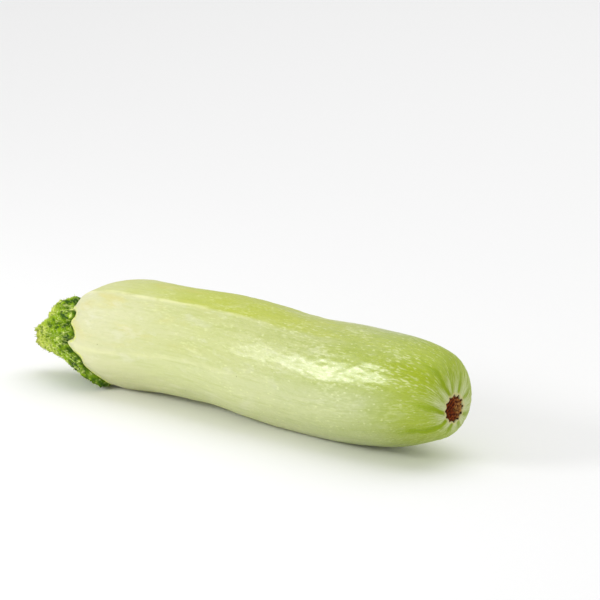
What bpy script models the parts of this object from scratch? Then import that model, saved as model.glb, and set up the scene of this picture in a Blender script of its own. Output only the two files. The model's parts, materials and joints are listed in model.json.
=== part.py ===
"""A zucchini lying on its side: the fruit with its blossom scar, and the cut stub of its stem.

Sizes are in millimetres until the meshes are written. A place on the fruit is given by s, the
distance from its stem end, and phi, the angle round its long axis from +Y towards +Z.
"""

import math

import bmesh
import bpy

MM = 0.001

# fruit
fruit_length = 208.0
# evenly spread from stem end to blossom end: radius, sideways shift and height of the centre line
body_stations = (
    (22.9, 0.0, 24.2),
    (23.9, 0.0, 23.7),
    (22.9, 0.0, 24.9),
    (23.0, 0.0, 25.8),
    (24.0, 0.0, 24.6),
    (23.6, 0.0, 23.4),
    (23.4, -0.2, 23.6),
    (21.2, -0.6, 25.5),
    (13.3, -1.6, 28.4),
)
shoulder_reach, shoulder_power = 34.0, 2.3
nose_reach, nose_power = 12.0, 2.6
nose_shift_y, nose_shift_z, nose_shift_reach = -5.0, -3.8, 5.0
fruit_sides = 60
fruit_rings = 50

# soft ridges along the fruit, strongest at the stem end
ridge_count = 5
ridge_phase = math.radians(128)
ridge_height, ridge_shoulder_height, ridge_fade = 0.25, 0.65, 38.0
ridge_crest_share = 0.25
ridge_start, ridge_end = 8.0, 14.0
# low swellings: length along the fruit over tau, waves round it, phase
lump_height = 0.18
lumps = ((13, 2, 0), (9, -3, 1), (21, 1, 4))

# blossom scar and the grooves that run out from it: angle, length
scar_radius, scar_scallop, scar_scallops = 5.1, 0.28, 12
scar_depth, scar_edge, scar_roughness = 0.5, 0.5, 0.1
# the bumps on the scar: waves round it and their shift with the radius, waves across it and their turns
scar_bump_waves, scar_bump_twist, scar_bump_rings, scar_bump_turns = 9, 2.3, 5.3, 3
scar_ring_radii = (7.0, 6.1, 5.5, 4.7, 3.4, 1.7)
scar_ring_clearance = 0.7
groove_depth, groove_half_width, groove_start, groove_fade = 0.3, 0.9, 1.5, 0.6
grooves = (
    *((24, 8), (60, 8), (92, 10), (121, 16), (150, 8)),
    *((180, 14), (222, 22), (257, 9), (295, 12), (333, 8)),
)
nose_relief_reach = 30.0

# stem
stem_seat_y, stem_seat_z = -1.0, -4.5
stem_length = 19.6
stem_bend_y, stem_bend_z, stem_bend_power = -2.5, -3.0, 1.5
stem_tip_radius, stem_tip_rib = 4.6, 0.5
# each rib's angle, how far its slope bulges (1 is straight) and the height of its foot, then the same
# between the ribs
ribs = ((18, 2.0, 1.4), (98, 6.0, 1.7), (160, 1.35, 1.4), (228, 1.25, 2.5), (304, 1.5, 1.6))
furrow_bulge, furrow_foot = 1.3, 0.8
# the edge of the foot, in toes with tongues of the fruit's skin between them: angle, place on the fruit
foot_edge = (
    *((18, 6), (56, 1.6), (92, 3.0), (118, 2.2), (129, 4.5), (139, 10.5), (150, 7.5), (166, 13.5)),
    *((179, 6.3), (186, 9), (190, 19), (208, 17), (230, 24), (246, 23), (266, 7.7), (304, 17), (338, 4.3)),
)
foot_inset = 0.9
cut_slant, cut_slant_angle, cut_dish = 3.3, 2.09, 0.8
cut_ragged = ((0.25, 11, 0), (0.2, 17, 1))
cut_ring_shares = (0.8, 0.4, 0.0)
spur_angle, spur_width, spur_length = math.radians(148), math.radians(7), 2.6
stem_sides = 120
seat_rings, foot_rings, wall_rings = 8, 3, 15

seat_gap = 0.35
flat_height = 0.6
halvings = 40


def clamp(value, low=0.0, high=1.0):
    return max(low, min(high, value))


def soft_step(value):
    t = clamp(value)
    return t * t * (3 - 2 * t)


def station_value(column, share):
    """A smooth curve through one column of body_stations."""
    values = [row[column] for row in body_stations]
    last = len(values) - 1
    place = clamp(share) * last
    index = min(int(place), last - 1)
    t = place - index
    before = values[index - 1] if index else 2 * values[0] - values[1]
    here, there = values[index], values[index + 1]
    after = values[index + 2] if index + 2 <= last else 2 * values[-1] - values[-2]
    slope = there - before
    bend = 2 * before - 5 * here + 4 * there - after
    twist = 3 * (here - there) + after - before
    return here + 0.5 * t * (slope + t * (bend + t * twist))


def rounded_end(distance, reach, power):
    inner = 1 - clamp(distance / reach)
    return max(1 - inner**power, 0.0) ** (1 / power)


def plain_radius(s):
    ends = rounded_end(s, shoulder_reach, shoulder_power)
    ends *= rounded_end(fruit_length - s, nose_reach, nose_power)
    return station_value(0, s / fruit_length) * ends


def centre_line(s):
    share = s / fruit_length
    near_nose = math.exp((s - fruit_length) / nose_shift_reach)
    y = station_value(1, share) + nose_shift_y * near_nose
    z = station_value(2, share) + nose_shift_z * near_nose
    return y, z


def ridge(s, phi):
    fade = clamp(s / ridge_start) * clamp((fruit_length - s) / ridge_end)
    height = ridge_height + ridge_shoulder_height * math.exp(-s / ridge_fade)
    turn = ridge_count * (phi - ridge_phase)
    wave = math.cos(turn) + ridge_crest_share * math.cos(2 * turn)
    swell = sum(math.sin(s / length + turns * phi + phase) for length, turns, phase in lumps)
    return fade * (height * wave + lump_height * swell)


def body_radius(s, phi):
    return plain_radius(s) + ridge(s, phi)


def profile_normal(s):
    """Outward direction on the turned profile: its part along the axis and its part away from it."""
    step = 0.02
    low, high = max(s - step, 0.0), min(s + step, fruit_length)
    rise = plain_radius(high) - plain_radius(low)
    size = math.hypot(high - low, rise)
    return -rise / size, (high - low) / size


def scar_margin(phi):
    return scar_radius + scar_scallop * math.cos(scar_scallops * phi)


def nose_relief(s, phi):
    """Height over the plain skin near the blossom end, below it inside the scar and the grooves."""
    from_axis = plain_radius(s)
    inside = soft_step((scar_margin(phi) - from_axis) / scar_edge + 0.5)
    rough = math.sin(scar_bump_waves * phi + scar_bump_twist * from_axis)
    rough *= math.sin(scar_bump_rings * from_axis + scar_bump_turns * phi)
    relief = -inside * (scar_depth + scar_roughness * rough)
    from_scar = math.hypot(from_axis - scar_radius, fruit_length - s)
    for angle, length in grooves:
        across = from_axis * math.remainder(phi - math.radians(angle), math.tau)
        along = soft_step(from_scar / groove_start)
        along *= soft_step((length - from_scar) / (groove_fade * length))
        relief -= groove_depth * (1 - inside) * along * math.exp(-((across / groove_half_width) ** 2))
    return relief


def fruit_point(s, phi):
    outward = body_radius(s, phi)
    along = 0.0
    if s > fruit_length - nose_relief_reach:
        relief = nose_relief(s, phi)
        axial, radial = profile_normal(s)
        along = relief * axial
        outward += relief * radial
    y, z = centre_line(s)
    return s + along, y + outward * math.cos(phi), z + outward * math.sin(phi)


def ring_places():
    """Distances along the fruit: close together at both ends, and closest on the scar."""
    shares = (0.5 - 0.5 * math.cos(math.pi * i / fruit_rings) for i in range(1, fruit_rings))
    widest = scar_ring_radii[0]
    places = [fruit_length * share for share in shares]
    places = [s for s in places if s < fruit_length / 2 or plain_radius(s) > widest + scar_ring_clearance]
    for from_axis in scar_ring_radii:
        low, high = places[-1], fruit_length
        for _ in range(halvings):
            middle = (low + high) / 2
            low, high = (middle, high) if plain_radius(middle) > from_axis else (low, middle)
        places.append(low)
    return places


def spin_blank(bm, profile, sides):
    """Turns a profile of (place, radius) about X into a closed blank."""
    verts = [bm.verts.new((place, radius, 0.0)) for place, radius in profile]
    edges = [bm.edges.new(pair) for pair in zip(verts, verts[1:])]
    bmesh.ops.spin(
        bm, geom=verts + edges, axis=(1, 0, 0), cent=(0, 0, 0), angle=math.tau, steps=sides, use_merge=True
    )
    bmesh.ops.remove_doubles(bm, verts=bm.verts, dist=1e-5)


def finish_mesh(bm, name, colour, roughness):
    bmesh.ops.recalc_face_normals(bm, faces=bm.faces)
    if bm.calc_volume(signed=True) < 0:
        bmesh.ops.reverse_faces(bm, faces=bm.faces)
    mesh = bpy.data.meshes.new(name)
    bm.to_mesh(mesh)
    bm.free()
    mesh.shade_smooth()
    mesh.set_sharp_from_angle(angle=math.radians(50))
    material = bpy.data.materials.new(name + "_skin")
    material.use_nodes = True
    shader = material.node_tree.nodes["Principled BSDF"]
    shader.inputs["Base Color"].default_value = (*colour, 1.0)
    shader.inputs["Roughness"].default_value = roughness
    shader.inputs["Metallic"].default_value = 0.0
    mesh.materials.append(material)
    obj = bpy.data.objects.new(name, mesh)
    bpy.context.collection.objects.link(obj)
    return obj


def make_fruit():
    bm = bmesh.new()
    places = [0.0, *ring_places(), fruit_length]
    spin_blank(bm, [(s, plain_radius(s)) for s in places], fruit_sides)
    for vert in bm.verts:
        s, phi = clamp(vert.co.x, 0.0, fruit_length), math.atan2(vert.co.z, vert.co.y)
        vert.co = fruit_point(s, phi)
    # the two low stretches of the underside are pressed flat where they lie
    everything = bm.verts[:] + bm.edges[:] + bm.faces[:]
    bmesh.ops.bisect_plane(
        bm, geom=everything, plane_co=(0, 0, flat_height), plane_no=(0, 0, -1), clear_outer=True, dist=1e-4
    )
    bmesh.ops.holes_fill(bm, edges=[edge for edge in bm.edges if edge.is_boundary], sides=0)
    bmesh.ops.triangulate(bm, faces=[face for face in bm.faces if len(face.verts) > 4])
    return finish_mesh(bm, "fruit", (0.62, 0.70, 0.30), 0.38)


def round_table(rows, phi):
    """How far an angle lies from one row to the next, and the other columns eased between the two."""
    degrees = math.degrees(phi) % 360
    first, last = rows[0], rows[-1]
    rounds = [(last[0] - 360, *last[1:]), *rows, (first[0] + 360, *first[1:])]
    for here, there in zip(rounds, rounds[1:]):
        if degrees <= there[0]:
            break
    share = (degrees - here[0]) / (there[0] - here[0])
    eased = soft_step(share)
    return share, [a + (b - a) * eased for a, b in zip(here[1:], there[1:])]


def rib_at(phi):
    """1 on a rib and 0 midway to the next one, with the bulge of the slope and the foot's height."""
    share, (bulge, height) = round_table(ribs, phi)
    rib = 0.5 + 0.5 * math.cos(math.tau * share)
    return rib, furrow_bulge + (bulge - furrow_bulge) * rib, furrow_foot + (height - furrow_foot) * rib


def foot_place(phi):
    return round_table(foot_edge, phi)[1][0]


def seat_centre():
    y, z = centre_line(0.0)
    return y + stem_seat_y, z + stem_seat_z


def reach_at(s, phi):
    """How far the skin at s is from the line through the seat's middle, in the direction phi."""
    (seat_y, seat_z), (middle_y, middle_z) = seat_centre(), centre_line(s)
    off_y, off_z = seat_y - middle_y, seat_z - middle_z
    along = off_y * math.cos(phi) + off_z * math.sin(phi)
    turn = phi
    for _ in range(4):
        square = along**2 - off_y**2 - off_z**2 + body_radius(s, turn) ** 2
        reach = math.sqrt(max(square, 0.0)) - along
        turn = math.atan2(off_z + reach * math.sin(phi), off_y + reach * math.cos(phi))
    return reach


def shoulder_point(y, z, lift):
    """The place over (y, z) on the fruit's shoulder, raised along its normal by lift."""
    low, high = 0.0, shoulder_reach
    for _ in range(halvings):
        s = (low + high) / 2
        middle_y, middle_z = centre_line(s)
        phi = math.atan2(z - middle_z, y - middle_y)
        if math.hypot(y - middle_y, z - middle_z) > body_radius(s, phi):
            low = s
        else:
            high = s
    axial, radial = profile_normal(s)
    return s + lift * axial, y + lift * radial * math.cos(phi), z + lift * radial * math.sin(phi)


def seat_point(share, phi, lift):
    seat_y, seat_z = seat_centre()
    reach = share * reach_at(foot_place(phi), phi)
    return shoulder_point(seat_y + reach * math.cos(phi), seat_z + reach * math.sin(phi), lift)


def foot_point(share, phi):
    """On the rounded edge of the foot, from its underside at 0 to its top at 1."""
    _, _, height = rib_at(phi)
    angle = share * math.pi / 2
    edge = foot_place(phi)
    s = edge - foot_inset * height * (1 - math.cos(angle)) * profile_normal(edge)[1]
    seat_y, seat_z = seat_centre()
    reach = reach_at(s, phi)
    y, z = seat_y + reach * math.cos(phi), seat_z + reach * math.sin(phi)
    middle_y, middle_z = centre_line(s)
    turn = math.atan2(z - middle_z, y - middle_y)
    axial, radial = profile_normal(s)
    lift = seat_gap + height * math.sin(angle)
    return s + lift * axial, y + lift * radial * math.cos(turn), z + lift * radial * math.sin(turn)


def stem_axis(x):
    seat_y, seat_z = seat_centre()
    bend = max(-x / stem_length, 0.0) ** stem_bend_power
    return seat_y + stem_bend_y * bend, seat_z + stem_bend_z * bend


def tip_place(phi):
    spur = math.exp(-((math.remainder(phi - spur_angle, math.tau) / spur_width) ** 2))
    ragged = sum(height * math.sin(waves * phi + phase) for height, waves, phase in cut_ragged)
    return -(stem_length + cut_slant * math.sin(phi - cut_slant_angle) + spur_length * spur + ragged)


def wall_point(share, phi):
    """On the stem's side, from its foot at 0 to the cut at 1."""
    rib, bulge, _ = rib_at(phi)
    foot = foot_point(1.0, phi)
    tip_radius = stem_tip_radius + stem_tip_rib * (2 * rib - 1)
    middle_y, middle_z = stem_axis(foot[0])
    foot_radius = math.hypot(foot[1] - middle_y, foot[2] - middle_z)
    foot_turn = math.remainder(math.atan2(foot[2] - middle_z, foot[1] - middle_y) - phi, math.tau)
    x = foot[0] + (tip_place(phi) - foot[0]) * share
    radius = tip_radius + (foot_radius - tip_radius) * (1 - share**bulge)
    turn = phi + foot_turn * (1 - share)
    y, z = stem_axis(x)
    return x, y + radius * math.cos(turn), z + radius * math.sin(turn)


def cut_point(share, phi):
    """On the cut end, from its middle at 0 to its edge at 1."""
    edge = wall_point(1.0, phi)
    y, z = stem_axis(-stem_length)
    x = -stem_length + (edge[0] + stem_length) * share + cut_dish * (1 - share**2)
    return x, y + (edge[1] - y) * share, z + (edge[2] - z) * share


def stem_point(ring, phi):
    if ring <= seat_rings:
        return seat_point(ring / seat_rings, phi, seat_gap)
    ring -= seat_rings
    if ring <= foot_rings:
        return foot_point(ring / foot_rings, phi)
    ring -= foot_rings
    if ring <= wall_rings:
        return wall_point(ring / wall_rings, phi)
    return cut_point(cut_ring_shares[ring - wall_rings - 1], phi)


def make_stem():
    bm = bmesh.new()
    last = seat_rings + foot_rings + wall_rings + len(cut_ring_shares)
    profile = [(ring, 0.0 if ring in (0, last) else 1.0) for ring in range(last + 1)]
    spin_blank(bm, profile, stem_sides)
    for vert in bm.verts:
        vert.co = stem_point(round(vert.co.x), math.atan2(vert.co.z, vert.co.y))
    return finish_mesh(bm, "stem", (0.20, 0.33, 0.06), 0.6)


def place_in_world(parts):
    """Puts the origin on the surface, under the middle of the whole."""
    corners = [vert.co for part in parts for vert in part.data.vertices]
    middle_x = (min(co.x for co in corners) + max(co.x for co in corners)) / 2
    middle_y = (min(co.y for co in corners) + max(co.y for co in corners)) / 2
    for part in parts:
        for vert in part.data.vertices:
            co = vert.co
            vert.co = ((co.x - middle_x) * MM, (co.y - middle_y) * MM, (co.z - flat_height) * MM)


def main():
    for obj in list(bpy.data.objects):
        bpy.data.objects.remove(obj)
    place_in_world([make_fruit(), make_stem()])


main()
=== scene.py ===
import json
import math
import random

import bmesh
import bpy
import numpy as np
from mathutils import Matrix, Vector, kdtree

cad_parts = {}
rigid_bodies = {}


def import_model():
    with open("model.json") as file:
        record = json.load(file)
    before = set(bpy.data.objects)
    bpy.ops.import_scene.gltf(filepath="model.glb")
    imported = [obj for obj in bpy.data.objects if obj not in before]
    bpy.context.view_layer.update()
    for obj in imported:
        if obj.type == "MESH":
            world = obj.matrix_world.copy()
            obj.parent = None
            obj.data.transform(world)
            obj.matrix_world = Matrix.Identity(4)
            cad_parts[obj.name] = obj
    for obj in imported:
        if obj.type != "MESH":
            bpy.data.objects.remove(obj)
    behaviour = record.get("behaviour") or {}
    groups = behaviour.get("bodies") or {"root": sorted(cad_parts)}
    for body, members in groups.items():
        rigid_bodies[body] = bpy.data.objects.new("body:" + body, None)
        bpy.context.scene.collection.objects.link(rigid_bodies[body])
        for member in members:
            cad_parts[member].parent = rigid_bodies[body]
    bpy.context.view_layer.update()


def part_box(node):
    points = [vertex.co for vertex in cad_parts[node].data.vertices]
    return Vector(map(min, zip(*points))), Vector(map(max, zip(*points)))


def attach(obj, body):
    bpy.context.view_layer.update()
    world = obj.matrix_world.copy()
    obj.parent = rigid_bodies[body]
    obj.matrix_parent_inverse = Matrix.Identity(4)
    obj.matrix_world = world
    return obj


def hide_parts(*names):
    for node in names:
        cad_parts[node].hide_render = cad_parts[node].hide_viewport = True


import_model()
print("frame loaded")

for item in list(bpy.data.objects):
    if item.type in {"CAMERA", "LIGHT"} or item.name == "Cube":
        bpy.data.objects.remove(item)

# Sizes are in millimetres, in the fruit's own coordinates. s runs along it from the stem end,
# phi round it from +Y towards +Z.
millimetre = 0.001
fullTurn = math.tau
noiseWaves = 28
# how finely the arc over the skin, the radii for its rings and the edge of the stem's foot are sampled
arcSteps, ringSteps, edgeSteps = 6000, 4000, 2881


def clampTo(value, low=0.0, high=1.0):
    return np.minimum(np.maximum(value, low), high)


def softStep(value):
    t = clampTo(value)
    return t * t * (3 - 2 * t)


def bell(value):
    return np.exp(-value * value)


def angleFrom(phi, centre):
    return (phi - centre + math.pi) % fullTurn - math.pi


def softNoise(points, size, seed):
    # a smooth random field: plane waves of about one length in random directions
    rng = np.random.default_rng(seed)
    total = np.zeros(len(points))
    for _ in range(noiseWaves):
        way = rng.normal(size=3)
        way *= rng.uniform(0.7, 1.5) / np.linalg.norm(way)
        total += np.sin(points @ (way * fullTurn / size) + rng.uniform(0, fullTurn))
    return total / math.sqrt(noiseWaves / 2)


def layeredNoise(points, layers, seedStep=0):
    # noise of several sizes: the share, size and seed of each
    return sum(share * softNoise(points, size, seed + seedStep) for share, size, seed in layers)


def pointTree(points):
    tree = kdtree.KDTree(len(points))
    for index, point in enumerate(points):
        tree.insert(point, index)
    tree.balance()
    return tree


def meshFrom(bm, name):
    mesh = bpy.data.meshes.new(name)
    bm.to_mesh(mesh)
    bm.free()
    return mesh


def spinBlank(name, profile, sides):
    # a profile turned round the x axis, with the place and the angle of each of its points
    bm = bmesh.new()
    verts = [bm.verts.new((place, radius, 0.0)) for place, radius in profile]
    edges = [bm.edges.new(pair) for pair in zip(verts, verts[1:])]
    bmesh.ops.spin(
        bm, geom=verts + edges, axis=(1, 0, 0), cent=(0, 0, 0), angle=fullTurn, steps=sides, use_merge=True
    )
    bmesh.ops.remove_doubles(bm, verts=bm.verts, dist=1e-5)
    mesh = meshFrom(bm, name)
    flat = np.empty(len(mesh.vertices) * 3, np.float32)
    mesh.vertices.foreach_get("co", flat)
    place, y, z = flat.reshape(-1, 3).astype(float).T
    return mesh, place, np.arctan2(z, y)


def movePoints(mesh, points):
    mesh.vertices.foreach_set("co", (points * millimetre).astype(np.float32).ravel())
    mesh.update()


def keepValues(mesh, marks):
    # a value or a vector for every point, for the material to read
    for name, values in marks.items():
        kind, key = ("FLOAT_VECTOR", "vector") if values.ndim == 2 else ("FLOAT", "value")
        layer = mesh.attributes.new(name, kind, "POINT")
        layer.data.foreach_set(key, values.astype(np.float32).ravel())


def outward(mesh):
    bm = bmesh.new()
    bm.from_mesh(mesh)
    bmesh.ops.recalc_face_normals(bm, faces=bm.faces)
    if bm.calc_volume(signed=True) < 0:
        bmesh.ops.reverse_faces(bm, faces=bm.faces)
    bm.to_mesh(mesh)
    bm.free()


def addObject(name, mesh, material):
    mesh.materials.append(material)
    mesh.shade_smooth()
    obj = bpy.data.objects.new(name, mesh)
    bpy.context.scene.collection.objects.link(obj)
    return obj


# the fruit's form, as the solid has it
body = {
    "length": 208.0,
    "radius": (22.9, 23.9, 22.9, 23.0, 24.0, 23.6, 23.4, 21.2, 13.3),
    "sideways": (0.0, 0.0, 0.0, 0.0, 0.0, 0.0, -0.2, -0.6, -1.6),
    "height": (24.2, 23.7, 24.9, 25.8, 24.6, 23.4, 23.6, 25.5, 28.4),
    "shoulder": (34.0, 2.3),  # reach, power
    "nose": (12.0, 2.6),
    "noseShift": (-5.0, -3.8, 5.0),  # y, z, reach
    "flat": 0.6,  # the height at which its underside is cut flat
    "ridges": 5,
    "ridgePhase": math.radians(128),
    "ridgeHeight": 0.25,
    "ridgeAtShoulder": 0.65,
    "ridgeFade": 38.0,
    "crestShare": 0.25,
    "ridgeEnds": (8.0, 14.0),
    "lumpHeight": 0.18,
    "lumps": ((13, 2, 0), (9, -3, 1), (21, 1, 4)),  # length, turns, phase
}


def stationCurve(values, share):
    # a smooth curve through values at even steps
    padded = np.array([2 * values[0] - values[1], *values, 2 * values[-1] - values[-2]])
    place = clampTo(share) * (len(values) - 1)
    index = np.minimum(place.astype(int), len(values) - 2)
    t = place - index
    before, here, there, after = (padded[index + k] for k in range(4))
    bend = 2 * before - 5 * here + 4 * there - after
    twist = 3 * (here - there) + after - before
    return here + 0.5 * t * (there - before + t * (bend + t * twist))


def roundedEnd(distance, reach, power):
    inner = 1 - clampTo(distance / reach)
    return np.maximum(1 - inner**power, 0.0) ** (1 / power)


def plainRadius(s):
    ends = roundedEnd(s, *body["shoulder"]) * roundedEnd(body["length"] - s, *body["nose"])
    return stationCurve(body["radius"], s / body["length"]) * ends


def centreLine(s):
    shiftY, shiftZ, reach = body["noseShift"]
    nearNose = np.exp((s - body["length"]) / reach)
    y = stationCurve(body["sideways"], s / body["length"]) + shiftY * nearNose
    z = stationCurve(body["height"], s / body["length"]) + shiftZ * nearNose
    return y, z


def bodyRadius(s, phi):
    start, end = body["ridgeEnds"]
    fade = clampTo(s / start) * clampTo((body["length"] - s) / end)
    height = body["ridgeHeight"] + body["ridgeAtShoulder"] * np.exp(-s / body["ridgeFade"])
    turn = body["ridges"] * (phi - body["ridgePhase"])
    wave = np.cos(turn) + body["crestShare"] * np.cos(2 * turn)
    swell = sum(np.sin(s / length + turns * phi + phase) for length, turns, phase in body["lumps"])
    return plainRadius(s) + fade * (height * wave + body["lumpHeight"] * swell)


def profileNormal(s):
    step = 0.02
    low, high = clampTo(s - step, 0, body["length"]), clampTo(s + step, 0, body["length"])
    rise = plainRadius(high) - plainRadius(low)
    size = np.hypot(high - low, rise)
    return -rise / size, (high - low) / size


def lifted(s, y, z, phi, lift):
    # a point of the skin moved out, square to the fruit's profile
    axial, radial = profileNormal(s)
    return np.stack([s + lift * axial, y + lift * radial * np.cos(phi), z + lift * radial * np.sin(phi)], 1)


stem = {
    "seat": (-1.0, -4.5),
    "length": 19.6,
    "bend": (-2.5, -3.0, 1.5),  # y, z, power
    "tipRadius": 4.6,
    "tipRib": 0.5,
    # each rib's angle, bulge of its slope and height of its foot, then the same between the ribs
    "ribs": ((18, 2.0, 1.4), (98, 6.0, 1.7), (160, 1.35, 1.4), (228, 1.25, 2.5), (304, 1.5, 1.6)),
    "betweenRibs": (1.3, 0.8),
    # the edge of the foot: angle and place along the fruit
    "foot": (
        (18, 6), (56, 1.6), (92, 3.0), (118, 2.2), (129, 4.5), (139, 10.5), (150, 7.5), (166, 13.5),
        (179, 6.3), (186, 9), (190, 19), (208, 17), (230, 24), (246, 23), (266, 7.7), (304, 17), (338, 4.3),
    ),
    "footInset": 0.9,  # how far its rounded edge draws in, over its height
    "seatGap": 0.35,
    "slant": (3.3, 2.09),  # depth, angle
    "dish": 0.8,
    "ragged": ((0.25, 11, 0), (0.2, 17, 1)),  # height, waves, phase
    "spur": (math.radians(148), math.radians(7), 2.6),  # angle, width, length
    "sides": 240,
    "rings": (12, 8, 130, 22),  # under the foot, on its edge, on the wall, on the cut end
    "reliefLean": 0.35,  # how much the relief leans towards the tip
    "netHeight": 0.55,
    "netCells": 420,
    "netSeed": 31,
    "netWidth": 0.3,
    "netGap": 0.6,
    "netSqueeze": 0.33,
    "netWarp": ((0.35, 3.0, 41), (0.15, 1.3, 51)),  # share, size, seed
    "knobs": ((0.22, 3.2, 25),),
    "fineHeight": 0.22,
    "fineGrain": ((0.5, 2.2, 21), (0.35, 1.0, 22)),
    "furrows": (0.36, 15),  # height, number
    "furrowWander": ((0.6, 6, 23),),
    "furrowStretch": 3,
    "bundles": (0.25, 10, 0.62, 0.12),  # depth, number, place from the middle, width
    "pith": (0.9, 0.3, 0.12),  # height, reach, softness
    "cutFine": 0.1,
    "cutGrain": ((0.15, 0.9, 24),),
    "bareFoot": 0.01,  # share of the wall that has no bristles
}


def roundTable(rows, phi):
    # where an angle lies between two rows of a table of angles, and the rows' values eased between them
    rounds = np.array([(rows[-1][0] - 360, *rows[-1][1:]), *rows, (rows[0][0] + 360, *rows[0][1:])])
    degrees = np.degrees(phi) % 360
    index = np.clip(np.searchsorted(rounds[:, 0], degrees) - 1, 0, len(rounds) - 2)
    here, there = rounds[index], rounds[index + 1]
    share = (degrees - here[:, 0]) / (there[:, 0] - here[:, 0])
    return share, (here + (there - here) * softStep(share)[:, None]).T


def ribAt(phi):
    # 1 on a rib and 0 midway between two, with the slope's bulge and the foot's height
    share, (_, bulge, height) = roundTable(stem["ribs"], phi)
    rib = 0.5 + 0.5 * np.cos(fullTurn * share)
    lowBulge, lowHeight = stem["betweenRibs"]
    return rib, lowBulge + (bulge - lowBulge) * rib, lowHeight + (height - lowHeight) * rib


def edgePlace(phi):
    return roundTable(stem["foot"], phi)[1][1]


def seatCentre():
    y, z = centreLine(0.0)
    return y + stem["seat"][0], z + stem["seat"][1]


def reachAt(s, phi):
    # how far the skin at s lies from the line through the seat's middle, in the direction phi
    seatY, seatZ = seatCentre()
    middleY, middleZ = centreLine(s)
    offY, offZ = seatY - middleY, seatZ - middleZ
    along = offY * np.cos(phi) + offZ * np.sin(phi)
    turn = phi
    for _ in range(4):  # a few rounds, because the fruit isn't quite round
        square = along**2 - offY**2 - offZ**2 + bodyRadius(s, turn) ** 2
        reach = np.sqrt(np.maximum(square, 0)) - along
        turn = np.arctan2(offZ + reach * np.sin(phi), offY + reach * np.cos(phi))
    return reach


scar = {
    "radius": 5.1,
    "scallop": 0.28,
    "scallops": 12,
    "depth": 0.5,
    "edge": 0.5,
    "dome": (0.25, 3.2),  # height, radius
    "navel": (0.5, 0.9),  # depth, radius
    "crust": 0.16,
    "crustGrain": ((0.6, 1.5, 3), (0.4, 0.6, 4)),
    "pitDepth": 0.35,
    "pitSize": 0.42,
    "pitPlace": 0.1,  # outside the radius
    "rim": (0.14, 0.55, 0.45),  # height, place outside the margin, width
    "reach": 40.0,  # how much of the fruit's end has its marks
}

# grooves that run out from the scar
grooves = {
    # angle, length, strength
    "list": (
        (24, 8, 0.7), (60, 8, 0.9), (92, 10, 0.7), (121, 16, 1.0), (150, 8, 0.45),
        (180, 14, 1.0), (222, 22, 1.2), (257, 9, 1.0), (295, 12, 0.8), (333, 8, 0.8),
    ),
    "depth": 0.3,
    "halfWidth": 0.9,
    "start": 1.5,
    "fade": 0.6,
    "wander": ((0.5, 4.0), (0.25, 1.7)),  # width and length of each bend
    # the colour of a groove spreads wider and runs on further than its hollow
    "streakLength": 1.7,
    "streakFade": 0.8,
    "streakWidth": (0.8, 0.11),  # at the scar, and what each millimetre adds
}


def scarMargin(phi):
    return scar["radius"] + scar["scallop"] * np.cos(scar["scallops"] * phi)


def grooveLines(phi, fromAxis, fromScar):
    # the hollows of the grooves, and the streaks of colour on them
    hollow, streak = np.zeros(len(phi)), np.zeros(len(phi))
    firstWidth, addedWidth = grooves["streakWidth"]
    for angle, length, strength in grooves["list"]:
        wander = sum(width * np.sin(fromScar / bend + angle) for width, bend in grooves["wander"])
        across = fromAxis * angleFrom(phi, math.radians(angle)) + wander
        start = softStep(fromScar / grooves["start"])
        along = start * softStep((length - fromScar) / (grooves["fade"] * length))
        hollow = np.maximum(hollow, strength * along * bell(across / grooves["halfWidth"]))
        stretched = grooves["streakLength"] * length
        along = start * softStep((stretched - fromScar) / (grooves["streakFade"] * stretched))
        streak = np.maximum(streak, strength * along * bell(across / (firstWidth + addedWidth * fromScar)))
    return hollow, streak


def blossomRelief(s, phi):
    # height over the plain skin, and the masks of the scar and of what lies round it
    fromAxis = plainRadius(s)
    fromScar = np.hypot(fromAxis - scar["radius"], body["length"] - s)
    inside = softStep((scarMargin(phi) - fromAxis) / scar["edge"] + 0.5)
    flat = np.stack([fromAxis * np.cos(phi), fromAxis * np.sin(phi), 0 * phi], 1)
    crust = layeredNoise(flat, scar["crustGrain"])
    fromPits = (fromAxis - scar["radius"] - scar["pitPlace"]) / scar["pitSize"]
    pits = bell(fromPits) * softStep(np.cos(scar["scallops"] * phi))
    rimHeight, rimPlace, rimWidth = scar["rim"]
    rim = bell((fromAxis - scarMargin(phi) - rimPlace) / rimWidth)
    hollow, streak = grooveLines(phi, fromAxis, fromScar)
    dome, domeRadius = scar["dome"]
    navel, navelRadius = scar["navel"]
    relief = -inside * (scar["depth"] - dome * bell(fromAxis / domeRadius) - scar["crust"] * crust)
    relief -= scar["pitDepth"] * pits + navel * bell(fromAxis / navelRadius)
    relief += rimHeight * rim
    relief -= grooves["depth"] * (1 - inside) * hollow
    near = s > body["length"] - scar["reach"]
    marks = {"scar": inside, "pits": pits, "streak": streak, "rim": rim, "crust": crust}
    marks = {name: value * near for name, value in marks.items()}
    marks["fromScar"] = fromScar
    return np.where(near, relief, 0), marks


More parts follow.
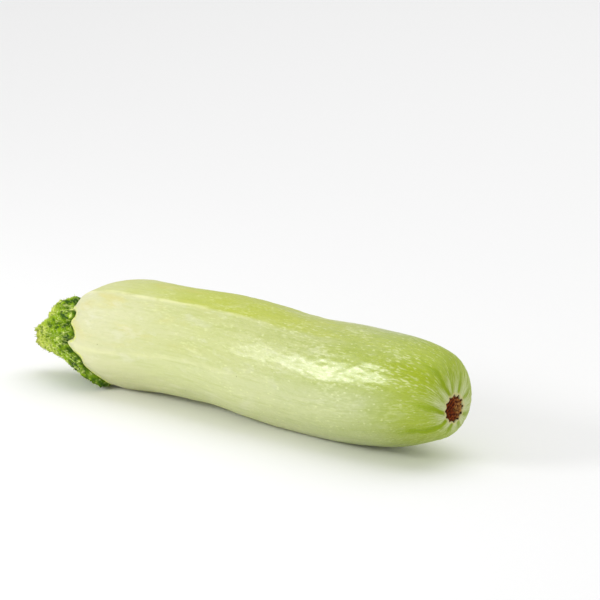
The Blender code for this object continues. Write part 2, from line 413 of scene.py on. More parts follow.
skin = {
    "sides": 250,
    "rings": 340,
    "ringDraw": 0.45,  # 0 spaces the rings evenly, 1 draws them to the ends
    "headRings": 12,
    "headReach": 4.0,
    "scarRings": 34,
    # how far the fine rings reach along the fruit and outside the scar, and how far off the others stay
    "scarReach": (6.0, 1.9, 2.0),
    "grainRadius": 24.0,
    "dimpleHeight": 0.045,
    "dimpleGrain": ((1.0, 4.16, 11), (0.5, 1.6, 12)),
    "dimpleStretch": 7.0 / 2.6,
    "dimpleFade": 6.0,
    "stemReach": 40.0,  # how much of the fruit's end is measured from the stem
    "lipHeight": 0.3,
    "lipPlace": 0.8,
    "lipWidth": 0.55,
    "gapSwell": 1.0,  # the flesh that rises between two toes of the stem
    "gapSwellReach": 3.0,
    "gapPlace": (11.0, 5.0),  # where the foot's edge counts as a gap, and how softly
    # crests of the ridges: angle at the stem end, drift in degrees a millimetre, strength
    "crests": ((54, -0.02, 1.0), (122.5, -0.02, 1.0), (190, -0.1, 0.45), (268, 0.03, 0.6), (338, 0.02, 1.0)),
    "crestHeight": 0.16,
    "crestWidth": 0.9,
    "crestRise": 5.0,
    "crestFade": (20.0, 150.0, 1.4),  # from, to, speed
    "crestWander": ((0.8, 9.0, 1), (0.5, 3.7, 2)),  # degrees, length, phase of each bend
    # how green and how milky the band from each crest to the next is; the full green of the top band is
    # partly painted shade and painted green reflection from a neighbouring fruit above it, and partly a tint
    # that differs from facet to facet
    "bands": ((1.0, 0.0), (0.0, 0.0), (0.0, 1.0), (0.5, 0.4), (0.5, 0.0)),
    "greenEdge": (5.0, 0.5),  # degrees, and the share of them before the crest
    "milkyEdge": (24.0, 0.75),
}


def bandMask(into, span, edge):
    width, before = edge
    return softStep(into / width + before) * softStep((span - into) / width + 0.5)


def ridgeLines(s, phi):
    # the sharp crests, and how green and how milky the skin is between them; the top band's green is partly
    # painted shade
    degrees = np.degrees(phi) % 360
    before = 40  # degrees before a crest in which its band may start
    crest, green, milky = np.zeros(len(s)), np.zeros(len(s)), np.zeros(len(s))
    turns = [angle + drift * s for angle, drift, _ in skin["crests"]]
    for index, turn in enumerate(turns):
        wander = sum(size * np.sin(s / bend + phase * index) for size, bend, phase in skin["crestWander"])
        after = (degrees - turn - wander / 2 + 180) % 360 - 180
        line = bell(np.radians(after) * plainRadius(s) / skin["crestWidth"])
        crest = np.maximum(crest, skin["crests"][index][2] * line)
        span = (turns[(index + 1) % len(turns)] - turn) % 360
        into = (degrees - turn - wander + before) % 360 - before
        greenShare, milkyShare = skin["bands"][index]
        green = np.maximum(green, greenShare * bandMask(into, span, skin["greenEdge"]))
        milky = np.maximum(milky, milkyShare * bandMask(into, span, skin["milkyEdge"]))
    start, end, speed = skin["crestFade"]
    fade = softStep(s / skin["crestRise"]) * softStep((end - s) / (end - start) * speed)
    return crest * fade, green, milky


def skinArc(s):
    # distance over the skin from the stem end
    places = np.linspace(0, body["length"], arcSteps)
    steps = np.hypot(np.diff(places), np.diff(plainRadius(places)))
    return np.interp(s, places, np.concatenate([[0], np.cumsum(steps)]))


def fromStemEdge(s, y, z):
    # distance from the edge of the stem's foot, below 0 under it, and 1 in the gaps between its toes
    seatY, seatZ = seatCentre()
    angles = np.linspace(-math.pi, math.pi, edgeSteps)
    edge = edgePlace(angles)
    reach = reachAt(edge, angles)
    tree = pointTree(np.stack([edge, seatY + reach * np.cos(angles), seatZ + reach * np.sin(angles)], 1))
    place = np.interp(np.arctan2(z - seatZ, y - seatY), angles, edge)
    away = np.full(len(s), 99.0)
    for index in np.nonzero(s < skin["stemReach"])[0]:
        away[index] = tree.find((s[index], y[index], z[index]))[2]
    gapEnd, gapSoft = skin["gapPlace"]
    return np.where(s < place, -away, away), softStep((gapEnd - place) / gapSoft)


def placesOf(radii, low, high):
    # where the plain profile has these radii, between two places
    places = np.linspace(low, high, ringSteps)
    found = plainRadius(places)
    way = 1 if found[-1] > found[0] else -1
    return np.interp(way * radii, way * found, places)


def skinRings():
    length = body["length"]
    drawn = 0.5 - 0.5 * np.cos(np.linspace(0, math.pi, skin["rings"]))
    even = np.linspace(0, 1, skin["rings"])
    places = length * (skin["ringDraw"] * drawn + (1 - skin["ringDraw"]) * even)
    along, fine, others = skin["scarReach"]
    places = places[(places < length / 2) | (plainRadius(places) > scar["radius"] + others)]
    # rings at even steps out from the middle of each end
    head = placesOf(np.linspace(0, plainRadius(places[1]), skin["headRings"])[1:-1], 0, skin["headReach"])
    nose = placesOf(np.linspace(scar["radius"] + fine, 0, skin["scarRings"]), length - along, length)
    return [0.0, *head, *places[1:], *nose[:-1], length]


# where the fruit's own coordinates lie in the frame
fruitLow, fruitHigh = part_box("fruit")


def frameShift(points):
    shiftX = fruitLow.x / millimetre
    middleY = (points[:, 1].min() + points[:, 1].max()) / 2
    shiftY = (fruitLow.y + fruitHigh.y) / 2 / millimetre - middleY
    return np.array([shiftX, shiftY, -body["flat"]])


def makeSkin(material):
    profile = [(s, float(plainRadius(s))) for s in skinRings()]
    mesh, place, phi = spinBlank("fruit_skin", profile, skin["sides"])
    s = clampTo(place, 0, body["length"])
    around = np.stack([np.cos(phi), np.sin(phi)], 1)
    centreY, centreZ = centreLine(s)
    radius = bodyRadius(s, phi)
    y, z = centreY + radius * around[:, 0], centreZ + radius * around[:, 1]
    relief, marks = blossomRelief(s, phi)
    crest, green, milky = ridgeLines(s, phi)
    fromEdge, gap = fromStemEdge(s, y, z)
    # a grain that follows the surface: round the fruit at one radius, and along its profile
    grain = np.column_stack([skinArc(s), skin["grainRadius"] * around])
    dimples = layeredNoise(grain / np.array([skin["dimpleStretch"], 1, 1]), skin["dimpleGrain"])
    relief += skin["dimpleHeight"] * dimples * (1 - marks["scar"]) * clampTo(s / skin["dimpleFade"])
    relief += skin["crestHeight"] * crest
    relief += skin["lipHeight"] * bell((fromEdge - skin["lipPlace"]) / skin["lipWidth"])
    relief += skin["gapSwell"] * gap * bell(fromEdge / skin["gapSwellReach"]) * softStep(fromEdge + 0.5)
    points = lifted(s, y, z, phi, relief)
    points[:, 2] = np.maximum(points[:, 2], body["flat"])
    shift = frameShift(points)
    movePoints(mesh, points + shift)
    marks |= {"grain": grain, "turn": np.column_stack([around, 0 * phi]), "share": s / body["length"]}
    marks |= {"fromStem": fromEdge, "crest": crest, "green": green, "milky": milky}
    keepValues(mesh, marks)
    outward(mesh)
    return addObject("zucchini_skin", mesh, material), shift


def seatPoint(share, phi):
    # on the underside of the foot, over the fruit's shoulder
    seatY, seatZ = seatCentre()
    reach = share * reachAt(edgePlace(phi), phi)
    y, z = seatY + reach * np.cos(phi), seatZ + reach * np.sin(phi)
    low, high = np.zeros(len(y)), np.full(len(y), body["shoulder"][0])
    for _ in range(40):  # halves the stretch in which the shoulder meets y and z
        s = (low + high) / 2
        middleY, middleZ = centreLine(s)
        turn = np.arctan2(z - middleZ, y - middleY)
        outside = np.hypot(y - middleY, z - middleZ) > bodyRadius(s, turn)
        low, high = np.where(outside, s, low), np.where(outside, high, s)
    return lifted(s, y, z, turn, stem["seatGap"])


def edgePoint(share, phi):
    # on the rounded edge of the foot, from its underside at 0 to its top at 1
    height = ribAt(phi)[2]
    angle = share * math.pi / 2
    edge = edgePlace(phi)
    s = edge - stem["footInset"] * height * (1 - np.cos(angle)) * profileNormal(edge)[1]
    seatY, seatZ = seatCentre()
    reach = reachAt(s, phi)
    y, z = seatY + reach * np.cos(phi), seatZ + reach * np.sin(phi)
    middleY, middleZ = centreLine(s)
    turn = np.arctan2(z - middleZ, y - middleY)
    return lifted(s, y, z, turn, stem["seatGap"] + height * np.sin(angle))


def stemAxis(x):
    seatY, seatZ = seatCentre()
    bendY, bendZ, power = stem["bend"]
    bend = np.maximum(-x / stem["length"], 0.0) ** power
    return seatY + bendY * bend, seatZ + bendZ * bend


def tipPlace(phi):
    angle, width, length = stem["spur"]
    slant, slantAngle = stem["slant"]
    spur = bell(angleFrom(phi, angle) / width)
    ragged = sum(height * np.sin(waves * phi + phase) for height, waves, phase in stem["ragged"])
    return -(stem["length"] + slant * np.sin(phi - slantAngle) + length * spur + ragged)


def wallPoint(share, phi):
    # on the ribbed wall, from the top of the foot at 0 to the tip at 1
    rib, bulge, _ = ribAt(phi)
    foot = edgePoint(np.ones(len(phi)), phi)
    tipRadius = stem["tipRadius"] + stem["tipRib"] * (2 * rib - 1)
    middleY, middleZ = stemAxis(foot[:, 0])
    footRadius = np.hypot(foot[:, 1] - middleY, foot[:, 2] - middleZ)
    footTurn = angleFrom(np.arctan2(foot[:, 2] - middleZ, foot[:, 1] - middleY), phi)
    x = foot[:, 0] + (tipPlace(phi) - foot[:, 0]) * share
    radius = tipRadius + (footRadius - tipRadius) * (1 - share**bulge)
    turn = phi + footTurn * (1 - share)
    y, z = stemAxis(x)
    return np.stack([x, y + radius * np.cos(turn), z + radius * np.sin(turn)], 1)


def cutPoint(share, phi):
    # on the cut end, from its middle at 0 to its edge at 1
    edge = wallPoint(np.ones(len(phi)), phi)
    length = stem["length"]
    y, z = stemAxis(np.full(len(phi), -length))
    x = (edge[:, 0] + length) * share + stem["dish"] * (1 - share**2) - length
    return np.stack([x, y + (edge[:, 1] - y) * share, z + (edge[:, 2] - z) * share], 1)


def netHeight(points, wanted):
    # a raised net: high where two cells of scattered seeds meet. Cells are long down the stem.
    warped = points * np.array([stem["netSqueeze"], 1.0, 1.0])
    for axis in range(3):
        warped[:, axis] += layeredNoise(points, stem["netWarp"], axis)
    rng = np.random.default_rng(stem["netSeed"])
    seeds = []
    for seed in warped[rng.choice(wanted, stem["netCells"], replace=False)]:
        if not seeds or np.linalg.norm(np.array(seeds) - seed, axis=1).min() > stem["netGap"]:
            seeds.append(seed)
    tree = pointTree(seeds)
    height = np.zeros(len(points))
    for index in wanted:
        nearest, second = tree.find_n(warped[index], 2)
        height[index] = second[2] - nearest[2]
    return np.exp(-height / stem["netWidth"])


def makeStem(material, shift):
    seatRings, edgeRings, wallRings, cutRings = stem["rings"]
    last = sum(stem["rings"])
    profile = [(ring, 0.0 if ring in (0, last) else 1.0) for ring in range(last + 1)]
    mesh, place, phi = spinBlank("stem_stub", profile, stem["sides"])
    ring = np.round(place)
    seatShare = clampTo(ring / seatRings)
    edgeShare = clampTo((ring - seatRings) / edgeRings)
    wallShare = clampTo((ring - seatRings - edgeRings) / wallRings)
    cutShare = clampTo((last - ring) / cutRings)
    onSeat, onCut = ring <= seatRings, ring > last - cutRings
    onWall = ~onSeat & ~onCut
    points = np.where(onSeat[:, None], seatPoint(seatShare, phi), edgePoint(edgeShare, phi))
    points = np.where((wallShare > 0)[:, None], wallPoint(wallShare, phi), points)
    points = np.where(onCut[:, None], cutPoint(cutShare, phi), points)
    # the way out from the stem's axis, for the relief and the bristles
    axisY, axisZ = stemAxis(points[:, 0])
    outY, outZ = points[:, 1] - axisY, points[:, 2] - axisZ
    outSize = np.maximum(np.hypot(outY, outZ), 1e-6)
    out = np.stack([np.full(len(phi), -stem["reliefLean"]), outY / outSize, outZ / outSize], 1)
    out /= np.linalg.norm(out, axis=1)[:, None]
    # furrows down the ribs, fading towards the foot and the tip
    furrowHeight, furrowCount = stem["furrows"]
    stretched = points / np.array([stem["furrowStretch"], 1, 1])
    furrows = np.cos(furrowCount * phi + layeredNoise(stretched, stem["furrowWander"]))
    fine = layeredNoise(points, stem["fineGrain"])
    net = netHeight(points, np.nonzero(onWall)[0])
    relief = stem["netHeight"] * net + stem["fineHeight"] * fine + layeredNoise(points, stem["knobs"])
    relief += furrowHeight * furrows * (1 - wallShare) * wallShare
    points += out * (onWall * softStep(edgeShare * 2) * relief)[:, None]
    # bundles and a soft pith in the cut end
    bundleDepth, bundleCount, bundlePlace, bundleWidth = stem["bundles"]
    bundles = bell((cutShare - bundlePlace) / bundleWidth) * softStep(np.cos(bundleCount * phi))
    pithHeight, pithReach, pithSoft = stem["pith"]
    pith = softStep((pithReach - cutShare) / pithSoft)
    cutRelief = pithHeight * pith - bundleDepth * bundles + stem["cutFine"] * fine * (cutShare > 0.05)
    points[:, 0] += onCut * (cutRelief + layeredNoise(points, stem["cutGrain"]) * cutShare)
    points[:, 2] = np.maximum(points[:, 2], body["flat"])
    movePoints(mesh, points + shift)
    # the foot's edge and the hollows of the fine relief are kept for the painted shade that the material
    # puts on them
    marks = {"net": net * onWall, "alongStem": wallShare, "footEdge": (1 - edgeShare) * onWall}
    marks |= {"hollow": clampTo(-fine) * onWall, "cut": onCut, "cutShare": cutShare * onCut}
    marks |= {"bundles": bundles * onCut, "pith": pith * onCut}
    keepValues(mesh, marks)
    outward(mesh)
    hairy = onWall & (wallShare > stem["bareFoot"])
    return addObject("zucchini_stem", mesh, material), points + shift, out, hairy


bristles = {
    "seed": 5,
    "count": 800,
    "length": (0.5, 1.3),
    "longShare": 0.2,  # share of them that is longer, and how much
    "longer": 1.3,
    "width": 0.19,
    "tipWidth": 0.012,
    "root": 0.12,
    "lean": 0.54,
    "droop": 0.15,
    "bareBelow": 2.0,  # no bristles under this height over the floor
}


def makeBristles(material, points, out, hairy):
    # short stiff hairs on the stem, each a three-sided spike
    random.seed(bristles["seed"])
    bm = bmesh.new()
    choices = np.nonzero(hairy & (points[:, 2] > bristles["bareBelow"]))[0]
    for index in random.sample(list(choices), bristles["count"]):
        lean = Vector([random.uniform(-1, 1) for _ in range(3)]) * bristles["lean"]
        lean.x -= bristles["droop"]
        way = (Vector(out[index]) + lean).normalized()
        length = random.uniform(*bristles["length"])
        if random.random() < bristles["longShare"]:
            length *= bristles["longer"]
        middle = Vector(points[index]) + way * (length / 2 - bristles["root"])
        place = Matrix.Translation(middle * millimetre) @ way.to_track_quat("Z", "Y").to_matrix().to_4x4()
        bmesh.ops.create_cone(
            bm, cap_ends=True, segments=3, radius1=bristles["width"] * millimetre,
            radius2=bristles["tipWidth"] * millimetre, depth=length * millimetre, matrix=place,
        )
    return addObject("zucchini_bristles", meshFrom(bm, "stem_bristles"), material)


class Wire:
    # an output socket in a node tree, so that shader maths reads as plain expressions

    def __init__(self, tree, socket=None):
        self.tree = tree
        self.socket = socket

    def add(self, kind, inputs=None, output=0, **settings):
        node = self.tree.nodes.new(kind)
        for name, value in settings.items():
            setattr(node, name, value)
        for key, value in (inputs or {}).items():
            if isinstance(value, Wire):
                self.tree.links.new(value.socket, node.inputs[key])
            else:
                node.inputs[key].default_value = value
        return Wire(self.tree, node.outputs[output])

    def maths(self, operation, first, second=0.0):
        return self.add("ShaderNodeMath", {0: first, 1: second}, operation=operation)

    def __add__(self, other):
        return self.maths("ADD", self, other)

    def __sub__(self, other):
        return self.maths("SUBTRACT", self, other)

    def __rsub__(self, other):
        return self.maths("SUBTRACT", other, self)

    def __mul__(self, other):
        return self.maths("MULTIPLY", self, other)

    __radd__ = __add__
    __rmul__ = __mul__

    def size(self):
        return self.maths("ABSOLUTE", self)

    def between(self, low, high):
        # 0 below low and 1 above high, eased
        inputs = {"Value": self, "From Min": low, "From Max": high}
        return self.add("ShaderNodeMapRange", inputs, interpolation_type="SMOOTHSTEP")

    def value(self, name):
        return self.add("ShaderNodeAttribute", output="Fac", attribute_name=name)

    def vector(self, name):
        return self.add("ShaderNodeAttribute", output="Vector", attribute_name=name)

    def stretched(self, vector, share):
        # a pattern on this vector is 1 / share times as long along the fruit
        return self.add("ShaderNodeVectorMath", {0: vector, 1: (share, 1.0, 1.0)}, operation="MULTIPLY")

    def noise(self, vector, scale, detail=3.0, roughness=0.55, distortion=0.0):
        inputs = {"Vector": vector, "Scale": scale, "Detail": detail, "Roughness": roughness}
        inputs["Distortion"] = distortion
        return self.add("ShaderNodeTexNoise", inputs, output="Fac")

    def bump(self, height, strength=1.0, distance=1.0):
        inputs = {"Strength": strength, "Distance": distance, "Height": height}
        return self.add("ShaderNodeBump", inputs, output="Normal")

    def cells(self, vector, scale):
        # the distance to the nearest of many scattered points, and a random value that each of them has
        inputs = {"Vector": vector, "Scale": scale}
        distance = self.add("ShaderNodeTexVoronoi", inputs, output="Distance")
        colour = Wire(self.tree, distance.socket.node.outputs["Color"])
        return distance, self.add("ShaderNodeSeparateColor", {0: colour})

    def mixed(self, share, first, second):
        return self.add("ShaderNodeMix", {0: share, 6: first, 7: second}, output=2, data_type="RGBA")


def tint(red, green, blue):
    # a screen colour of 0 to 255 as the linear one that a shader takes
    def linear(value):
        value /= 255
        return value / 12.92 if value <= 0.04045 else ((value + 0.055) / 1.055) ** 2.4

    return (linear(red), linear(green), linear(blue), 1.0)


def newMaterial(name, **constants):
    material = bpy.data.materials.new(name)
    material.use_nodes = True
    tree = material.node_tree
    shader = tree.nodes["Principled BSDF"]
    for socket, value in constants.items():
        shader.inputs[socket.replace("_", " ")].default_value = value
    return material, shader, Wire(tree)


def joinShader(wire, shader, **links):
    for socket, value in links.items():
        wire.tree.links.new(value.socket, shader.inputs[socket.replace("_", " ")])


def skinMaterial():
    look = {
        "stemEnd": tint(217, 217, 174),
        "middle": tint(202, 208, 140),
        "blossomEnd": tint(168, 186, 0),
        "milky": tint(208, 214, 158),
        "milkyEnd": tint(176, 190, 104),
        "green": tint(188, 198, 62),
        "greenEnd": tint(168, 188, 0),
        "mottle": tint(150, 170, 16),
        "crest": tint(240, 240, 186),
        "fleck": tint(232, 238, 176),
        "smudge": tint(218, 208, 134),
        "paintedSheen": tint(230, 230, 206),
        "streak": tint(148, 172, 0),
        "nearScar": tint(220, 228, 178),
        "lip": tint(226, 234, 104),
        "scarDark": tint(74, 22, 0),
        "scarRed": tint(140, 58, 0),
        "scarTan": tint(226, 170, 88),
        "scarPit": tint(54, 16, 0),
        "scarEdge": tint(226, 206, 140),
        "speck": tint(92, 84, 20),
        # how many of each pattern go in a millimetre
        "drifts": 0.12,
        "fibres": 0.7,
        "mottles": 1.0,
        "clusters": 0.16,
        "dashes": 1.25,
        "dots": 0.7,
        "paintedSheens": 0.2,
        "specks": 0.16,
        "crestBreaks": 0.35,
        "cork": 1.1,
        "tanPatches": 1.7,
        "pitting": 1.2,
        "corkGrain": 3.0,
        # heights in metres
        "pittingHeight": (0.00014, 0.0004),  # at the stem, and what the blossom end adds
        "mottleHeight": 0.00016,
        "corkHeight": 0.0002,
    }
    material, shader, w = newMaterial(
        "zucchiniSkin", Subsurface_Weight=0.08, Subsurface_Scale=0.002, Subsurface_Radius=(1.0, 0.9, 0.3),
        IOR=1.45, Specular_IOR_Level=0.2, Coat_Roughness=0.35, Coat_IOR=1.95,
    )
    grain = w.vector("grain")
    share, scarMask, pits = w.value("share"), w.value("scar"), w.value("pits")
    streak, rim, crust = w.value("streak"), w.value("rim"), w.value("crust")
    fromStem, fromScar, crest = w.value("fromStem"), w.value("fromScar"), w.value("crest")
    green, milky = w.value("green"), w.value("milky")
    # from cream at the stem to yellow green at the blossom end, in drifts
    longGrain = w.stretched(grain, 0.3)
    place = share + (w.noise(longGrain, look["drifts"]) - 0.5) * 0.4
    base = w.mixed(place.between(0.02, 0.45), look["stemEnd"], look["middle"])
    base = w.mixed(place.between(0.5, 0.92), base, look["blossomEnd"])
    milk = w.mixed(place.between(0.55, 1.0), look["milky"], look["milkyEnd"])
    milkShare = milky * 0.8 * place.between(0.05, 0.45) * (1 - 0.65 * share.between(0.84, 0.95))
    base = w.mixed(milkShare, base, milk)
    # the green bands, deeper towards the blossom end; on the top band this green is partly painted shade and
    # painted reflection from a neighbouring fruit, and partly the skin's own tint
    upper = w.mixed(place.between(0.6, 1.0), look["green"], look["greenEnd"])
    base = w.mixed(green * (0.3 + 0.6 * place.between(0.0, 0.5)), base, upper)
    # fibres: fine lines along the fruit, and a broken mottle between them
    fibres = w.noise(w.stretched(grain, 0.05), look["fibres"], 4.0, 0.7)
    base = w.mixed(fibres.between(0.45, 0.8) * (0.12 + 0.35 * share), base, look["mottle"])
    mottles = w.noise(longGrain, look["mottles"], 5.0, 0.75, 0.4)
    lessMilky = 1 - milky * 0.6
    darker = mottles.between(0.48, 0.68) * (0.08 + 0.55 * share.between(0.3, 1.0)) * lessMilky
    base = w.mixed(darker, base, look["mottle"])
    # cream flecks: soft dashes in clusters, more of them towards the blossom end
    clusters = w.noise(longGrain, look["clusters"])
    dashes = w.noise(w.stretched(grain, 0.28), look["dashes"], 2.0, 0.5, 0.3)
    dips = (1 - dashes).between(0.55, 0.72) * (0.06 + 0.5 * share.between(0.4, 1.0)) * lessMilky
    base = w.mixed(dips, base, look["mottle"])
    flecks = (dashes + (clusters - 0.5) * 0.5 + share * 0.07).between(0.58, 0.8)
    base = w.mixed(flecks * (0.18 + 0.46 * share) * (1 - milky * 0.5), base, look["fleck"])
    fromDot, pick = w.cells(w.stretched(grain, 0.5), look["dots"])
    dots = (1 - fromDot.between(0.12, 0.3)) * (pick + clusters * 0.5).between(0.75, 1.0)
    base = w.mixed(dots * 0.5 * share.between(0.25, 0.6), base, look["fleck"])
    # faint yellow smudges near the stem, and pale patches of painted sheen
    smudges = w.noise(longGrain, look["drifts"], 4.0, 0.6).between(0.48, 0.7)
    base = w.mixed(smudges * (1 - share.between(0.15, 0.55)) * (1 - milky) * 0.5, base, look["smudge"])
    # pale patches of painted sheen, most towards the stem end and weaker on the green top band
    paintedSheen = w.noise(w.stretched(grain, 0.4), look["paintedSheens"], 5.0, 0.6, 0.4).between(0.52, 0.7)
    base = w.mixed(paintedSheen * (0.42 - 0.34 * share) * (1 - 0.6 * green), base, look["paintedSheen"])
    # a few dark specks
    fromSpeck, pick = w.cells(grain, look["specks"])
    specks = (1 - fromSpeck.between(0.03, 0.06)) * pick.between(0.6, 0.7)
    base = w.mixed(specks * 0.5, base, look["speck"])
    # the crest lines, paler where they are whole
    crestTone = crest * w.noise(longGrain, look["crestBreaks"]).between(0.3, 0.6)
    base = w.mixed(crestTone * 0.65, base, look["crest"])
    # green streaks and paler skin between them round the scar
    ragged = w.noise(w.stretched(grain, 0.2), look["mottles"], 5.0, 0.75)
    aroundScar = 1 - (fromScar + (ragged - 0.5) * 18).between(0.0, 11.0)
    base = w.mixed(aroundScar * (1 - streak) * (0.3 + 0.9 * mottles), base, look["nearScar"])
    darkSide = 1 - (fromScar + (ragged - 0.5) * 30).between(12.0, 24.0)
    base = w.mixed(darkSide * (1 - aroundScar) * ragged.between(0.4, 0.62) * 0.7, base, look["streak"])
    base = w.mixed((streak + (ragged - 0.5) * 2.3).between(0.3, 0.8), base, look["streak"])
    # the bright lip round the stem
    lipMask = 1 - (fromStem - skin["lipPlace"]).size().between(0.4, 1.3)
    base = w.mixed(lipMask * (0.15 + 0.9 * ragged.between(0.4, 0.65)), base, look["lip"])
    # the scar, tan on its sunken side
    turn = w.add("ShaderNodeSeparateXYZ", {0: w.vector("turn")})
    corkNoise = w.noise(grain, look["cork"], 4.0, 0.7)
    cork = w.mixed((crust * 0.3 + corkNoise).between(0.3, 0.8), look["scarDark"], look["scarRed"])
    tan = w.noise(grain, look["tanPatches"]) + turn * 0.16 + crust * 0.1
    cork = w.mixed(tan.between(0.58, 0.78) * 0.75, cork, look["scarTan"])
    base = w.mixed(rim * (1 - scarMask) * 0.6, base, look["scarEdge"])
    base = w.mixed(scarMask, base, cork)
    base = w.mixed(pits.between(0.25, 0.7), base, look["scarPit"])
    # the shine grows away from the stem and is gone at the scar
    glossy = place.between(0.38, 0.8) * (1 - share.between(0.8, 0.95) * 0.85)
    roughness = 0.5 - 0.15 * glossy + 0.3 * scarMask + (mottles - 0.5) * 0.25
    coat = (1 - scarMask) * (1 - 0.6 * streak) * (0.12 + 0.88 * glossy)
    # a fine pitting that breaks up the shine, deeper towards the blossom end
    pitting = w.noise(w.stretched(grain, 0.75), look["pitting"], 4.0, 0.6)
    firstHeight, addedHeight = look["pittingHeight"]
    height = pitting * (firstHeight + addedHeight * share) + mottles * look["mottleHeight"]
    height = height + w.noise(grain, look["corkGrain"]) * look["corkHeight"] * scarMask
    joinShader(w, shader, Base_Color=base, Roughness=roughness, Coat_Weight=coat, Normal=w.bump(height))
    return material


def stemMaterial():
    look = {
        "deep": tint(50, 86, 0),
        "green": tint(140, 176, 0),
        "net": tint(232, 240, 150),
        "tip": tint(206, 216, 92),
        "cutPale": tint(200, 204, 140),
        "cutRing": tint(134, 150, 70),
        "dry": tint(150, 128, 60),
        # how many of each pattern go in a metre
        "drifts": 130.0,
        "blotches": 340.0,
        "highlightStrokes": 620.0,
        "fine": 1000.0,
        "cutGrain": 900.0,
        "lumps": 600.0,
        # heights in metres
        "fineHeight": 0.0005,
        "lumpHeight": 0.0004,
    }
    material, shader, w = newMaterial("zucchiniStem", IOR=1.45, Specular_IOR_Level=0.18)
    coords = w.stretched(w.add("ShaderNodeTexCoord", output="Object"), 0.5)
    net, cut, along = w.value("net"), w.value("cut"), w.value("alongStem")
    bundles, pith, cutShare = w.value("bundles"), w.value("pith"), w.value("cutShare")
    footEdge, hollow = w.value("footEdge"), w.value("hollow")
    drifts = w.noise(coords, look["drifts"], 2.0) - 0.5
    blotches = w.noise(coords, look["blotches"], 1.0, 0.5)
    fine = w.noise(coords, look["fine"], 3.0, 0.6)
    highlightStrokes = w.noise(w.stretched(coords, 0.35), look["highlightStrokes"], 2.0, 0.5, 0.5)
    # painted light and shade: deep green as painted shade in the hollows and near the foot, and lighter and
    # darker in drifts and blotches of painted light and shade
    lit = (blotches - 0.5) * 1.1 + drifts * 0.9 + (fine - 0.5) * 0.2 + net * 0.25 - hollow * 0.1 + 0.03
    lit = lit - (1 - along.between(0.0, 0.3)) * 0.12
    base = w.mixed(lit.between(-0.22, 0.18), look["deep"], look["green"])
    # pale strokes, painted highlights of the bristles that are strongest in the painted light, and the pale
    # net, paler where the painted light falls
    base = w.mixed(highlightStrokes.between(0.56, 0.7) * (0.35 + 0.5 * lit.between(-0.1, 0.2)), base, look["net"])
    netTone = (net + (fine - 0.5) * 0.8 + drifts * 2.0 + (blotches - 0.5) * 0.8).between(0.55, 0.95)
    base = w.mixed(netTone * 0.75, base, look["net"])
    # lighter and drier towards the tip, and painted shade at the edge of the foot where it meets the fruit
    base = w.mixed(along.between(0.4, 0.85) * (0.12 + 0.5 * lit.between(-0.15, 0.15)), base, look["tip"])
    base = w.mixed((along + blotches * 0.3).between(1.05, 1.2) * 0.6, base, look["dry"])
    base = w.mixed(footEdge.between(0.1, 0.9) * 0.6, base, look["deep"])
    # the cut end, with a ring of bundles round a dry middle
    face = w.mixed(bundles, look["cutPale"], look["cutRing"])
    face = w.mixed(pith * 0.6, face, look["dry"])
    face = w.mixed(cutShare.between(0.75, 1.0) * 0.8, face, look["dry"])
    face = w.mixed(w.noise(coords, look["cutGrain"]).between(0.4, 0.8) * 0.4, face, look["dry"])
    base = w.mixed(cut, base, face)
    roughness = 0.55 + 0.25 * cut + (blotches - 0.5) * 0.2
    height = fine * look["fineHeight"] + w.noise(coords, look["lumps"]) * look["lumpHeight"]
    joinShader(w, shader, Base_Color=base, Roughness=roughness, Normal=w.bump(height))
    return material


def bristleMaterial():
    look = {"dark": tint(160, 184, 60), "pale": tint(214, 222, 150), "patches": 300.0}
    material, shader, w = newMaterial("stemBristle", Roughness=0.4)
    shade = w.noise(w.add("ShaderNodeTexCoord", output="Object"), look["patches"], 2.0)
    base = w.mixed(shade.between(0.35, 0.65), look["dark"], look["pale"])
    joinShader(w, shader, Base_Color=base)
    return material


def floorMaterial():
    # matt card: hardly visible fibres in its colour and in its surface
    look = {"dark": 0.922, "pale": 0.938, "fibres": 400.0, "roughness": (0.85, 0.1), "bump": (0.2, 0.0002)}
    material, shader, w = newMaterial("paleFloor")
    fibres = w.noise(w.add("ShaderNodeTexCoord", output="Object"), look["fibres"], 3.0, 0.6)
    base = w.mixed(fibres, (look["dark"],) * 3 + (1.0,), (look["pale"],) * 3 + (1.0,))
    lowest, added = look["roughness"]
    bump = w.bump(fibres, *look["bump"])
    joinShader(w, shader, Base_Color=base, Roughness=lowest + added * fibres, Normal=bump)
    return material


skinObject, shift = makeSkin(skinMaterial())
print("skin made:", len(skinObject.data.polygons), "faces")
stemObject, stemPoints, stemOut, hairy = makeStem(stemMaterial(), shift)
print("stem made:", len(stemObject.data.polygons), "faces")
bristleObject = makeBristles(bristleMaterial(), stemPoints, stemOut, hairy)
print("bristles made:", bristles["count"])

for piece, node, slot in (
    (skinObject, "fruit", "fruit_skin"),
    (stemObject, "stem", "stem"),
    (bristleObject, "stem", "stem"),
):
    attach(piece, "root")
    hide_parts(node)

studio = {
    "floorSize": 12.0,
    "worldStrength": 0.58,
    # the azimuth is from the front, and the tilt turns the lamp's long side
    "key": {
        "power": 1.72, "width": 0.35, "height": 0.12, "distance": 0.7,
        "azimuth": -29.0, "elevation": 27.5, "tilt": -17.0,
    },
    "fill": {
        "power": 2.0, "width": 1.2, "height": 0.8, "distance": 1.6,
        "azimuth": 32.0, "elevation": 16.0, "tilt": 0.0,
    },
    "top": {
        "power": 48.0, "width": 4.0, "height": 4.0, "distance": 3.0,
        "azimuth": 170.0, "elevation": 70.0, "tilt": 0.0,
    },
}

view = {
    "azimuth": 41.68,
    "elevation": 13.22,
    "distance": 1.176,
    "lens": 172.5,
    "sensor": 36.0,
    "clip": (0.05, 60.0),
    # how far the camera stands off the line through the fruit's middle
    "right": 0.01423,
    "up": 0.04898,
}


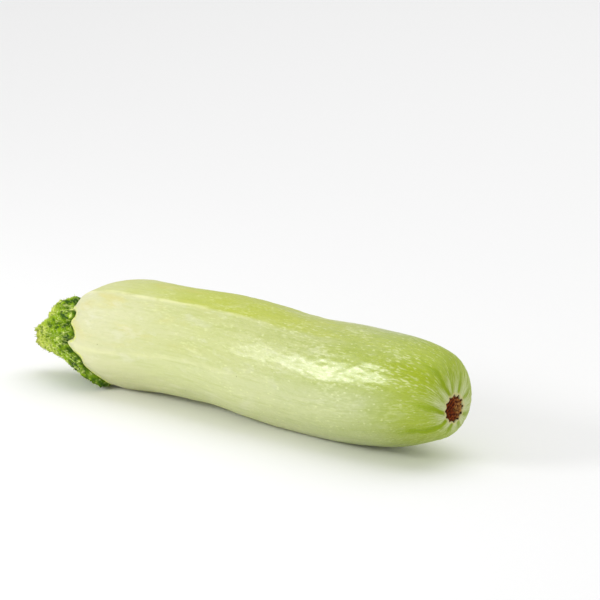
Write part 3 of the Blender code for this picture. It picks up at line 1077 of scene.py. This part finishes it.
def direction(azimuth, elevation):
    azimuth, elevation = math.radians(azimuth), math.radians(elevation)
    level = math.cos(elevation)
    return Vector((math.sin(azimuth) * level, -math.cos(azimuth) * level, math.sin(elevation)))


def addFloor():
    bm = bmesh.new()
    bmesh.ops.create_grid(bm, x_segments=1, y_segments=1, size=studio["floorSize"] / 2)
    floor = addObject("floor", meshFrom(bm, "floor"), floorMaterial())


def addLight(name, aim):
    lamp = studio[name]
    data = bpy.data.lights.new(name, "AREA")
    data.shape = "ELLIPSE"
    data.size, data.size_y = lamp["width"], lamp["height"]
    data.energy = lamp["power"]
    light = bpy.data.objects.new(name, data)
    back = direction(lamp["azimuth"], lamp["elevation"])
    light.location = aim + back * lamp["distance"]
    tilt = Matrix.Rotation(math.radians(lamp["tilt"]), 3, "Z")
    light.rotation_euler = (back.to_track_quat("Z", "Y").to_matrix() @ tilt).to_euler()
    bpy.context.scene.collection.objects.link(light)


def addCamera(aim):
    back = direction(view["azimuth"], view["elevation"])
    azimuth = math.radians(view["azimuth"])
    right = Vector((math.cos(azimuth), math.sin(azimuth), 0.0))
    up = right.cross(-back)
    data = bpy.data.cameras.new("camera")
    data.sensor_width = view["sensor"]
    data.lens = view["lens"]
    data.clip_start, data.clip_end = view["clip"]
    camera = bpy.data.objects.new("camera", data)
    camera.location = aim + right * view["right"] + up * view["up"] + back * view["distance"]
    camera.rotation_euler = back.to_track_quat("Z", "Y").to_euler()
    bpy.context.scene.collection.objects.link(camera)
    bpy.context.scene.camera = camera


aim = Vector((shift[0] + body["length"] / 2, shift[1], shift[2])) * millimetre
addFloor()
for name in ("key", "fill", "top"):
    addLight(name, aim)
addCamera(aim)

world = bpy.data.worlds.new("studio")
world.use_nodes = True
background = world.node_tree.nodes["Background"]
background.inputs["Color"].default_value = (1.0, 1.0, 1.0, 1.0)
background.inputs["Strength"].default_value = studio["worldStrength"]
bpy.context.scene.world = world
bpy.context.scene.view_settings.view_transform = "Standard"
print("studio set")

bpy.context.view_layer.update()
